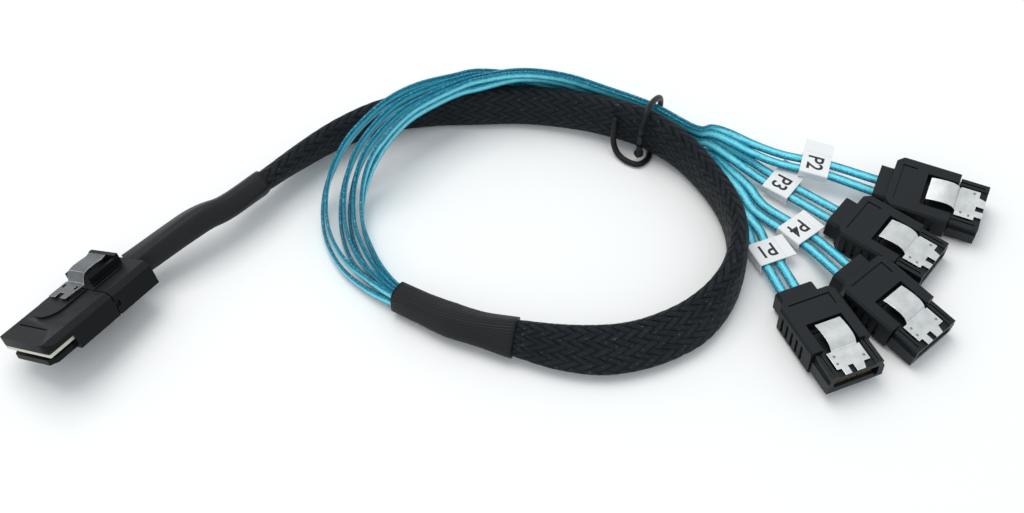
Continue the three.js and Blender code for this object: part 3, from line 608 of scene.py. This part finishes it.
def ribbon_material(name, colour, deep, pale):
    """Clear blue film over crumpled foil: bright crown as painted highlight, deep edges as painted shade,
    streaks along the length, pale patches as painted glints and dark dashes as painted crease shade.
    """
    s = Shader(name)
    split = s.node("ShaderNodeSeparateXYZ")
    s.put(split.inputs[0], s.place(uv=True))
    across = split.outputs[0]
    streaks = s.noise(s.place((1.6, 0.16, 1.0), uv=True), 3.0, 4, 0.6)
    crumple = s.noise(s.place((1.0, 0.5, 1.0), uv=True), 1.6, 3, 0.55)
    shifted = s.math("ADD", across, s.math("MULTIPLY_ADD", streaks, 1.1, -0.55))
    # Across the ribbon: painted shade at both edges and painted highlight at the crown, made wavy by the
    # streaks.
    film = s.ramp(
        s.math("MULTIPLY_ADD", shifted, 0.5, 0.5),
        [
            (0.0, rgba(deep)),
            (0.13, rgba(deep)),
            (0.24, rgba(colour)),
            (0.44, rgba(pale)),
            (0.56, rgba(pale)),
            (0.76, rgba(colour)),
            (0.87, rgba(deep)),
            (1.0, rgba(deep)),
        ],
    )
    plain = s.mix(s.math("MULTIPLY", crumple, 0.3), film, rgba(colour))
    # Pale patches along the ribbon are painted glints.
    foil = s.noise(s.place((2.2, 0.9, 1.0), uv=True), 2.4, 4, 0.7)
    glint = s.ramp(foil, [(0.0, (0, 0, 0, 1)), (0.53, (0, 0, 0, 1)), (0.66, (0.6, 0.6, 0.6, 1))])
    lit = s.mix(glint, plain, rgba(pale))
    # Dark dashes where the foil noise is low are painted shade in the foil's creases.
    crease_shade = s.ramp(foil, [(0.0, (0.8, 0.8, 0.8, 1)), (0.36, (0.6, 0.6, 0.6, 1)), (0.44, (0, 0, 0, 1))])
    tone = s.mix(crease_shade, lit, rgba(deep))
    s.set(
        Base_Color=tone,
        Metallic=0.1,
        Roughness=s.math("MULTIPLY_ADD", crumple, 0.25, 0.22),
        Normal=s.bump(s.math("ADD", foil, crumple), 0.09 * MM, 0.8),
        Specular_IOR_Level=0.2,
        Coat_Weight=0.12,
        Coat_Roughness=0.15,
    )
    return s.material


def label_material(name, colour):
    """White label film with a faint sheen."""
    s = Shader(name)
    broad = s.noise(s.place(), 240, 3)
    tone = s.mix(broad, rgba([c * 0.95 for c in colour]), rgba(colour))
    skin = s.bump(broad, 0.05 * MM, 0.5)
    s.set(Base_Color=tone, Roughness=0.38, Normal=skin, Coat_Weight=0.2, Coat_Roughness=0.25)
    return s.material


def board_material(name, mask, laminate):
    """Circuit board: green mask on top, pale laminate at its sawn edges."""
    s = Shader(name)
    geometry = s.node("ShaderNodeNewGeometry")
    normal = s.node("ShaderNodeVectorMath", operation="DOT_PRODUCT")
    s.put(normal.inputs[0], geometry.outputs["Normal"])
    up = rotation(*HOST_POSE[3:]).to_3x3() @ Vector((0, 0, 1))
    normal.inputs[1].default_value = up
    flat = s.math("GREATER_THAN", s.math("ABSOLUTE", normal.outputs["Value"]), 0.7)
    weave = s.noise(s.place(), 2400, 2)
    edge = s.mix(weave, rgba([c * 0.85 for c in laminate]), rgba(laminate))
    s.set(Base_Color=s.mix(flat, edge, rgba(mask)), Roughness=0.4, Normal=s.bump(weave, 0.01 * MM, 0.5))
    return s.material


class BREAKOUT_PG_cords(bpy.types.PropertyGroup):
    """Sizes of the cords and what is on them."""

    ribbon_width: FloatProperty(
        name="Ribbon width", description="Width of a twin ribbon", default=0.0023, unit="LENGTH"
    )
    ribbon_thick: FloatProperty(
        name="Ribbon thickness", description="Thickness of a twin ribbon", default=0.00086, unit="LENGTH"
    )
    ribbon_length: FloatProperty(
        name="Ribbon length",
        description="Length of a ribbon, card to small plug",
        default=0.49,
        unit="LENGTH",
    )
    sleeve_width: FloatProperty(
        name="Sleeve width", description="Width of the flat sleeve", default=0.0108, unit="LENGTH"
    )
    sleeve_length: FloatProperty(
        name="Sleeve length", description="Length of the braided sleeve", default=0.262, unit="LENGTH"
    )
    sleeve_sides: IntProperty(
        name="Sleeve sides", description="Faces round the sleeve", default=96
    )
    braid_strands: IntProperty(
        name="Braid strands", description="Strands round the sleeve each way, an even number", default=16
    )
    braid_pitch: FloatProperty(
        name="Braid pitch", description="Strands along one millimetre of the sleeve", default=0.31
    )
    braid_relief: FloatProperty(
        name="Braid relief", description="How far a strand stands up, in millimetres", default=0.17
    )
    tie_radius: FloatProperty(
        name="Tie radius", description="Radius of the wire tie, in millimetres", default=0.73
    )


class BREAKOUT_PG_colours(bpy.types.PropertyGroup):
    """Colours of the materials."""

    plastic: FloatVectorProperty(
        name="Plug plastic",
        description="Overmould and shells",
        subtype="COLOR",
        default=(0.008, 0.011, 0.0135),
    )
    nose: FloatVectorProperty(
        name="Nose plastic",
        description="Small plugs' noses",
        subtype="COLOR",
        default=(0.008, 0.011, 0.0135),
    )
    rubber: FloatVectorProperty(
        name="Shrink", description="Heat shrink and tie", subtype="COLOR", default=(0.006, 0.0075, 0.009)
    )
    braid: FloatVectorProperty(
        name="Braid", description="Braided sleeve", subtype="COLOR", default=(0.0035, 0.0048, 0.006)
    )
    film: FloatVectorProperty(
        name="Film",
        description="Ribbon film between crown and edge",
        subtype="COLOR",
        default=(0.008, 0.46, 0.64),
    )
    # Painted shade of the ribbon: its edges and the foil's creases.
    film_shade: FloatVectorProperty(
        name="Film edge", description="Ribbon film at the edges", subtype="COLOR", default=(0.0, 0.095, 0.17)
    )
    # Painted highlight of the ribbon: its crown and its glints.
    film_highlight: FloatVectorProperty(
        name="Film crown", description="Ribbon film at the crown", subtype="COLOR", default=(0.28, 0.86, 0.97)
    )
    label: FloatVectorProperty(
        name="Label", description="Flag labels", subtype="COLOR", default=(0.86, 0.87, 0.88)
    )
    ink: FloatVectorProperty(
        name="Ink", description="Port numbers", subtype="COLOR", default=(0.03, 0.03, 0.035)
    )
    steel: FloatVectorProperty(
        name="Steel", description="Small plugs' latches", subtype="COLOR", default=(0.56, 0.59, 0.6)
    )
    dark_steel: FloatVectorProperty(
        name="Dark steel", description="Host plug's latch", subtype="COLOR", default=(0.13, 0.14, 0.15)
    )
    gold: FloatVectorProperty(
        name="Contacts", description="Gold plating", subtype="COLOR", default=(0.75, 0.5, 0.18)
    )
    mask: FloatVectorProperty(
        name="Solder mask", description="Card faces", subtype="COLOR", default=(0.05, 0.3, 0.24)
    )
    laminate: FloatVectorProperty(
        name="Laminate", description="Card edges", subtype="COLOR", default=(0.72, 0.7, 0.6)
    )
    floor: FloatVectorProperty(
        name="Floor", description="Floor under the cable", subtype="COLOR", default=(1.0, 0.99, 0.99)
    )


class BREAKOUT_PG_stage(bpy.types.PropertyGroup):
    """Camera and light."""

    lens: FloatProperty(name="Lens", description="Focal length in millimetres", default=44.72)
    height: FloatProperty(name="Camera height", description="Above the floor", default=0.2356, unit="LENGTH")
    back: FloatProperty(name="Camera distance", description="Along the floor", default=0.16968, unit="LENGTH")
    side: FloatProperty(name="Camera side", description="Left of the middle", default=0.00185, unit="LENGTH")
    tilt: FloatProperty(name="Camera tilt", description="Below the horizon, in degrees", default=52.8)
    shift: FloatProperty(name="Shift", description="Upward shift of the frame", default=-0.00625)
    key: FloatProperty(name="Key light", description="Power of the large lamp in watts", default=3.2)
    world: FloatProperty(name="World light", description="Strength of the even light", default=0.75)


def add_cord(name, mesh, material, slot, node, **facts):
    obj = add_object(name, mesh, material, nodes=(node,))
    return obj


class BREAKOUT_OT_shrinks(bpy.types.Operator):
    """Builds the two heat shrink tubes."""

    bl_idname = "breakout.shrinks"
    bl_label = "Heat shrink"

    def execute(self, context):
        colours = context.scene.breakout_colours
        sets = [
            ("host_shrink_tube", "host_heat_shrink", HOST_SHRINK_SPAN, HOST_SHRINK_SWELL, 0.15),
            ("split_shrink_tube", "split_heat_shrink", SPLIT_SHRINK_SPAN, SPLIT_SHRINK_SWELL, 1.0),
        ]
        for name, node, span, swell, ribs in sets:

            def half_sizes(t, value, span=span, swell=swell):
                place = t - span[0]
                i = min(int(place), len(swell) - 2)
                grow = SHRINK_WALL + swell[i] + (swell[i + 1] - swell[i]) * (place - i)
                return value[4] + grow, value[5] + grow

            section = rounded_section(SHRINK_SIDES, SHRINK_SQUARENESS)
            marks = route_marks(span[0], span[1], 10)
            rings, centres = swept_rings(SPINE, marks, section, half_sizes)
            rims = []
            for ring, centre in ((rings[0], centres[0]), (rings[-2], centres[-2])):
                rims.append([centre + (p - centre) * SHRINK_END_INSET for p in ring])
            rings = [rims[0], *rings, rims[1]]
            centres = [centres[0], *centres, centres[-2]]
            material = shrink_material(name, colours.rubber, ribs)
            add_object(name, tube_mesh(name, rings, centres), material, nodes=(node,))
        return {"FINISHED"}


class BREAKOUT_OT_sleeve(bpy.types.Operator):
    """Builds the braided sleeve."""

    bl_idname = "breakout.sleeve"
    bl_label = "Braided sleeve"

    def execute(self, context):
        sizes, colours = context.scene.breakout_cords, context.scene.breakout_colours
        grow = sizes.sleeve_width / MM / 2 / SLEEVE_HALF_WIDTH
        section = rounded_section(sizes.sleeve_sides, SLEEVE_SQUARENESS)
        marks = route_marks(SLEEVE_SPAN[0], SLEEVE_SPAN[1], 24)
        rings, centres = swept_rings(SPINE, marks, section, lambda t, v: (v[4] * grow, v[5] * grow))
        around, along = lay_of(rings, centres)
        across = sizes.braid_strands / around[-1]
        for ring, centre, v in zip(rings, centres, along):
            for k, point in enumerate(ring):
                rise = sizes.braid_relief * (braid_height(around[k], v, across, sizes.braid_pitch) - 0.8)
                ring[k] = point + (point - centre).normalized() * rise
        mesh = tube_mesh("sleeve", rings, centres, lay=(around, along))
        material = braid_material("braid", colours.braid, across, sizes.braid_pitch)
        pieces = [bpy.data.objects["host_shrink_tube"], bpy.data.objects["split_shrink_tube"]]
        add_cord(
            "sleeve",
            mesh,
            material,
            "braid",
            "braided_sleeve",
            exit=to_frame(SPINE[0]),
            length=sizes.sleeve_length,
            diameter=sizes.sleeve_width,
            far_end="fitting",
            stiffness="medium",
            path=[to_frame(c) for c in centres[::8]],
            with_pieces=pieces,
        )
        return {"FINISHED"}


def braid_height(u, v, across, along):
    """Height of the braid's strands at a place of the sleeve's map."""
    p, q = u * across + v * along, u * across - v * along
    over = (math.floor(p) + math.floor(q)) % 4 < 2
    part = (q if over else p) % 1.0
    return (4 * part * (1 - part)) ** 0.6


def ribbon_section():
    """Twin ribbon: two soft crowns with a shallow dip between them."""
    points = []
    for k in range(20):
        angle = 2 * math.pi * k / 20
        c, s = math.cos(angle), math.sin(angle)
        x = math.copysign(abs(c) ** 0.62, c)
        crown = 0.86 + 0.14 * math.cos(2 * math.pi * (abs(x) - 0.5)) ** 2
        y = math.copysign(abs(s) ** 0.62, s) * crown
        points.append((x, y))
    return points


class BREAKOUT_OT_ribbons(bpy.types.Operator):
    """Builds the eight twin ribbons."""

    bl_idname = "breakout.ribbons"
    bl_label = "Ribbons"

    def execute(self, context):
        sizes, colours = context.scene.breakout_cords, context.scene.breakout_colours
        material = ribbon_material("film", colours.film, colours.film_shade, colours.film_highlight)
        section = ribbon_section()
        a, b = sizes.ribbon_width / MM / 2, sizes.ribbon_thick / MM / 2
        for index, (leg, _, _, side) in enumerate(LANES):
            rows = ribbon_rows(index)
            hidden = len(SPINE)
            marks = route_marks(0, hidden, 2) + route_marks(hidden, len(rows) - 1, 7)[1:]
            rings, centres = swept_rings(rows, marks, section, lambda t, v: (a, b))
            name = f"{leg}_ribbon_{SIDES[side]}"
            mesh = tube_mesh(name + "_skin", rings, centres)
            layer = mesh.uv_layers["lay"].data
            for i, corner in enumerate(layer):
                corner.uv[0] = section[mesh.loops[i].vertex_index % len(section)][0]
            add_cord(
                name + "_film",
                mesh,
                material,
                "ribbon_jacket",
                name,
                exit=to_frame(rows[2]),
                length=sizes.ribbon_length,
                diameter=sizes.ribbon_width,
                far_end="connector",
                stiffness="stiff",
                path=[to_frame(c) for c in centres],
                with_pieces=[bpy.data.objects[f"{leg}_overmould_shell"]],
            )
        return {"FINISHED"}


def dressed_copy(source, name, material, slot, body, width, segments=2, edge=None):
    """The CAD node's own shape with its edges rounded, standing for it."""
    mesh = bpy.data.objects[source].data.copy()
    mesh.materials.clear()
    work = bmesh.new()
    work.from_mesh(mesh)
    bmesh.ops.remove_doubles(work, verts=work.verts, dist=3e-6)
    bmesh.ops.dissolve_limit(work, angle_limit=math.radians(1.5), verts=work.verts, edges=work.edges)
    work.to_mesh(mesh)
    work.free()
    mesh.polygons.foreach_set("use_smooth", [True] * len(mesh.polygons))
    mesh.set_sharp_from_angle(angle=math.radians(30))
    obj = add_object(name, mesh, material, body, (source,))
    bevel = obj.modifiers.new("rounding", "BEVEL")
    bevel.width = width
    bevel.segments = segments
    bevel.limit_method = "ANGLE"
    bevel.angle_limit = math.radians(28)
    bevel.harden_normals = True
    # The bevel faces take the edge material, a painted edge highlight.
    if edge:
        mesh.materials.append(edge)
        bevel.material = 1
    return obj


class BREAKOUT_OT_small_plugs(bpy.types.Operator):
    """Builds the four small plugs."""

    bl_idname = "breakout.small_plugs"
    bl_label = "Small plugs"

    def execute(self, context):
        colours = context.scene.breakout_colours
        shell = moulded_material("overmould", colours.plastic, 0.5)
        nose = moulded_material("nose", colours.nose, 0.42, 0.006)
        # Bevelled edges of the plugs get lighter, glossier plastic: a painted highlight.
        wear_and_edge_highlight = moulded_material("overmould_edge_highlight", [c * 2.6 for c in colours.plastic], 0.36, 0.004, 0.35)
        steel = metal_material("spring_steel", colours.steel, 0.34)
        # Bevelled edges of the latches get brighter, glossier steel: a painted highlight.
        edge_highlight_steel = metal_material("steel_edge_highlight", [min(c * 1.5, 1.0) for c in colours.steel], 0.22)
        # Darker steel for the dimples: painted shade in their hollows.
        painted_dimple_shade = metal_material("steel_dimple_shade", [c * 0.35 for c in colours.steel], 0.35)
        gold = metal_material("gold", colours.gold, 0.28)
        for leg in LEGS:
            names = (f"{leg}_overmould", f"{leg}_overmould_shell")
            dressed_copy(*names, shell, "plug_plastic", ROOT, 0.3 * MM, 3, wear_and_edge_highlight)
            names = (f"{leg}_nose", f"{leg}_nose_housing")
            dressed_copy(*names, nose, "nose_plastic", ROOT, 0.1 * MM, edge=wear_and_edge_highlight)
            body = f"{leg}_latch_lever"
            names = (f"{leg}_latch", f"{leg}_latch_spring")
            dressed_copy(*names, steel, "steel", body, 0.05 * MM, edge=edge_highlight_steel)
            dressed_copy(f"{leg}_contacts", f"{leg}_contact_set", gold, "contact", ROOT, 0.04 * MM)
            work = bmesh.new()
            for place in DIMPLES:
                shape = Matrix.Translation(place) @ Matrix.Diagonal((*DIMPLE_SIZE, 1))
                bmesh.ops.create_icosphere(work, subdivisions=2, radius=1.0, matrix=shape)
            dimples = placed_mesh(f"{leg}_latch_dimples", work, PLUG_POSES[leg])
            dimples.polygons.foreach_set("use_smooth", [True] * len(dimples.polygons))
            add_object(f"{leg}_latch_dimples", dimples, painted_dimple_shade, body)
        return {"FINISHED"}


class BREAKOUT_OT_host_plug(bpy.types.Operator):
    """Builds the wide host plug."""

    bl_idname = "breakout.host_plug"
    bl_label = "Host plug"

    def execute(self, context):
        colours = context.scene.breakout_colours
        shell = moulded_material("host_shell", [c * 0.5 for c in colours.plastic], 0.46, 0.012, 0.12)
        steel = metal_material("dark_steel", colours.dark_steel, 0.32)
        # Bevelled edges of the host's shells get lighter, glossier plastic: a painted highlight.
        wear_and_edge_highlight = moulded_material("host_edge_highlight", [c * 2.4 for c in colours.plastic], 0.36, 0.004, 0.35)
        # Bevelled edges of the host latch get bright steel: a painted highlight.
        edge_highlight_steel = metal_material("dark_steel_edge_highlight", colours.steel, 0.25)
        gold = metal_material("finger_gold", colours.gold, 0.3)
        card = board_material("card", colours.mask, colours.laminate)
        for names in (("host_front_housing", "host_front_shell"), ("host_rear_shell", "host_rear_cover")):
            dressed_copy(*names, shell, "plug_plastic", ROOT, 0.25 * MM, 3, wear_and_edge_highlight)
        dressed_copy("host_paddle_card", "host_card", card, "board", ROOT, 0.05 * MM)
        names = ("host_latch", "host_latch_spring")
        dressed_copy(*names, steel, "dark_steel", "host_latch_lever", 0.06 * MM, edge=edge_highlight_steel)
        work = bmesh.new()
        for height in FINGER_HEIGHTS:
            for k in range(FINGER_COUNT):
                place = (FINGER_MIDDLE, (k - (FINGER_COUNT - 1) / 2) * FINGER_PITCH, height)
                size = Matrix.Diagonal((FINGER_LENGTH, FINGER_WIDTH, FINGER_THICK, 1))
                bmesh.ops.create_cube(work, matrix=Matrix.Translation(place) @ size)
        fingers = placed_mesh("host_card_fingers", work, HOST_POSE)
        add_object("host_card_fingers", fingers, gold)
        return {"FINISHED"}


class BREAKOUT_OT_labels(bpy.types.Operator):
    """Builds the four flag labels and their port numbers."""

    bl_idname = "breakout.labels"
    bl_label = "Labels"

    def execute(self, context):
        colours = context.scene.breakout_colours
        film = label_material("label_film", colours.label)
        ink = moulded_material("ink", colours.ink, 0.5, 0.002)
        for leg in LEGS:
            dressed_copy(f"{leg}_label", f"{leg}_label_film", film, "label", ROOT, 0.08 * MM)
            at, move = LABEL_PLACES[leg]
            fan = FAN[leg]
            spot, before = Vector(fan[at][:3]), Vector(fan[at - 1][:3])
            after = Vector((*PLUG_POSES[leg][:2], RIBBON_HEIGHT))
            if at + 1 < len(fan):
                after = Vector(fan[at + 1][:3])
            forward = (after - before).normalized()
            left = Vector((0, 0, 1)).cross(forward).normalized()
            up = forward.cross(left)
            curve = bpy.data.curves.new(f"{leg}_letters", "FONT")
            curve.body = leg.upper()
            curve.size = LETTER_SIZE
            curve.offset = LETTER_BOLD
            curve.extrude = LETTER_THICK
            curve.resolution_u = 6
            carrier = bpy.data.objects.new("letters", curve)
            context.scene.collection.objects.link(carrier)
            context.view_layer.update()
            ready = carrier.evaluated_get(context.evaluated_depsgraph_get())
            mesh = bpy.data.meshes.new_from_object(ready)
            bpy.data.objects.remove(carrier)
            spot += forward * (move - LETTER_SIZE * LETTER_MIDDLE) + up * LABEL_TOP
            turn = Matrix((-left, forward, up)).transposed().to_4x4()
            slim = Matrix.Translation((LETTER_SHIFT, 0, 0)) @ Matrix.Diagonal((LETTER_WIDTH, 1, 1, 1))
            mesh.transform(Matrix.Translation(spot) @ turn @ slim)
            for vertex in mesh.vertices:
                vertex.co = to_frame(vertex.co)
            mesh.materials.clear()
            add_object(f"{leg}_label_print", mesh, ink)
        return {"FINISHED"}


class BREAKOUT_OT_tie(bpy.types.Operator):
    """Builds the round wire tie."""

    bl_idname = "breakout.tie"
    bl_label = "Wire tie"

    def execute(self, context):
        colours = context.scene.breakout_colours
        radius = context.scene.breakout_cords.tie_radius
        rows = [(*p, 0) for p in TIE_LINE]
        section = [(math.cos(math.pi * k / 8), math.sin(math.pi * k / 8)) for k in range(16)]
        marks = route_marks(0, len(rows) - 1, 8)
        rings, centres = swept_rings(rows, marks, section, lambda t, v: (radius, radius))
        mesh = tube_mesh("tie", rings, centres)
        material = moulded_material("tie_coat", colours.rubber, 0.38, 0.004)
        tie = add_object("tie_wire", mesh, material, nodes=("wire_tie",))
        knot = bpy.data.meshes.new("tie_knot")
        work = bmesh.new()
        bmesh.ops.create_icosphere(work, subdivisions=3, radius=KNOT_RADIUS * MM)
        for v in work.verts:
            v.co *= 1 + 0.1 * math.sin(v.co.x * 4200) * math.cos(v.co.z * 3600)
        work.to_mesh(knot)
        work.free()
        x, y, z = TIE_LINE[0]
        knot.transform(Matrix.Translation(to_frame((x, y, z + KNOT_RISE))))
        knot.polygons.foreach_set("use_smooth", [True] * len(knot.polygons))
        add_object("tie_knot", knot, material)
        return {"FINISHED"}


class BREAKOUT_OT_stage(bpy.types.Operator):
    """Builds the camera, the floor and the light."""

    bl_idname = "breakout.stage"
    bl_label = "Stage"

    def execute(self, context):
        scene = context.scene
        setup, colours = scene.breakout_stage, scene.breakout_colours
        camera = bpy.data.cameras.new("camera")
        camera.lens = setup.lens
        camera.sensor_width = 36
        camera.shift_y = setup.shift
        camera.clip_start = 0.01
        camera.clip_end = 20
        eye = bpy.data.objects.new("camera", camera)
        eye.location = (-setup.side, -setup.back, setup.height)
        eye.rotation_euler = (math.radians(90 - setup.tilt), 0, 0)
        scene.collection.objects.link(eye)
        scene.camera = eye

        mesh = bpy.data.meshes.new("floor")
        corners = [(x * FLOOR_REACH, y * FLOOR_REACH, 0) for x, y in ((-1, -1), (1, -1), (1, 1), (-1, 1))]
        mesh.from_pydata(corners, [], [(0, 1, 2, 3)])
        floor = bpy.data.objects.new("floor", mesh)
        floor.location.z = -FLOOR_DROP
        scene.collection.objects.link(floor)
        s = Shader("floor")
        s.set(Base_Color=rgba(colours.floor), Roughness=0.9, Specular_IOR_Level=0.1)
        mesh.materials.append(s.material)

        lamp = bpy.data.lights.new("key", "AREA")
        lamp.shape = "RECTANGLE"
        lamp.size = KEY_SIZE
        lamp.size_y = KEY_SIZE
        lamp.color = KEY_COLOUR
        lamp.energy = setup.key
        key = bpy.data.objects.new("key", lamp)
        key.location = KEY_PLACE
        key.rotation_euler = (Vector((0, 0, 0)) - key.location).to_track_quat("-Z", "Y").to_euler()
        scene.collection.objects.link(key)

        world = bpy.data.worlds.new("world")
        scene.world = world
        world.use_nodes = True
        tree = world.node_tree
        background = tree.nodes["Background"]
        path = tree.nodes.new("ShaderNodeLightPath")
        seen = path.outputs["Is Camera Ray"]
        for kind in ("Is Glossy Ray", "Is Transmission Ray"):
            either = tree.nodes.new("ShaderNodeMath")
            either.operation = "MAXIMUM"
            tree.links.new(seen, either.inputs[0])
            tree.links.new(path.outputs[kind], either.inputs[1])
            seen = either.outputs[0]
        level = tree.nodes.new("ShaderNodeMix")
        tree.links.new(seen, level.inputs[0])
        level.inputs[2].default_value = setup.world
        level.inputs[3].default_value = 1.0
        tree.links.new(level.outputs[0], background.inputs["Strength"])
        tint = tree.nodes.new("ShaderNodeMix")
        tint.data_type = "RGBA"
        tree.links.new(seen, tint.inputs[0])
        tint.inputs[6].default_value = WORLD_COLOUR
        tint.inputs[7].default_value = WHITE
        tree.links.new(tint.outputs[2], background.inputs["Color"])
        scene.view_settings.view_transform = "Standard"
        return {"FINISHED"}


class BREAKOUT_PT_panel(bpy.types.Panel):
    """Buttons for the cable's pieces."""

    bl_idname = "BREAKOUT_PT_panel"
    bl_label = "Breakout cable"
    bl_space_type = "VIEW_3D"
    bl_region_type = "UI"
    bl_category = "Cable"

    def draw(self, context):
        for step in STEPS:
            self.layout.operator(step.bl_idname)


STEPS = (
    BREAKOUT_OT_stage,
    BREAKOUT_OT_shrinks,
    BREAKOUT_OT_sleeve,
    BREAKOUT_OT_small_plugs,
    BREAKOUT_OT_ribbons,
    BREAKOUT_OT_host_plug,
    BREAKOUT_OT_labels,
    BREAKOUT_OT_tie,
)
GROUPS = (BREAKOUT_PG_cords, BREAKOUT_PG_colours, BREAKOUT_PG_stage)


def register():
    for made in (*GROUPS, *STEPS, BREAKOUT_PT_panel):
        bpy.utils.register_class(made)
    bpy.types.Scene.breakout_cords = PointerProperty(type=BREAKOUT_PG_cords)
    bpy.types.Scene.breakout_colours = PointerProperty(type=BREAKOUT_PG_colours)
    bpy.types.Scene.breakout_stage = PointerProperty(type=BREAKOUT_PG_stage)


def unregister():
    del bpy.types.Scene.breakout_stage
    del bpy.types.Scene.breakout_colours
    del bpy.types.Scene.breakout_cords
    for made in reversed((*GROUPS, *STEPS, BREAKOUT_PT_panel)):
        bpy.utils.unregister_class(made)


def main():
    register()
    for step in STEPS:
        area, action = step.bl_idname.split(".")
        getattr(getattr(bpy.ops, area), action)()


if __name__ == "__main__":
    main()
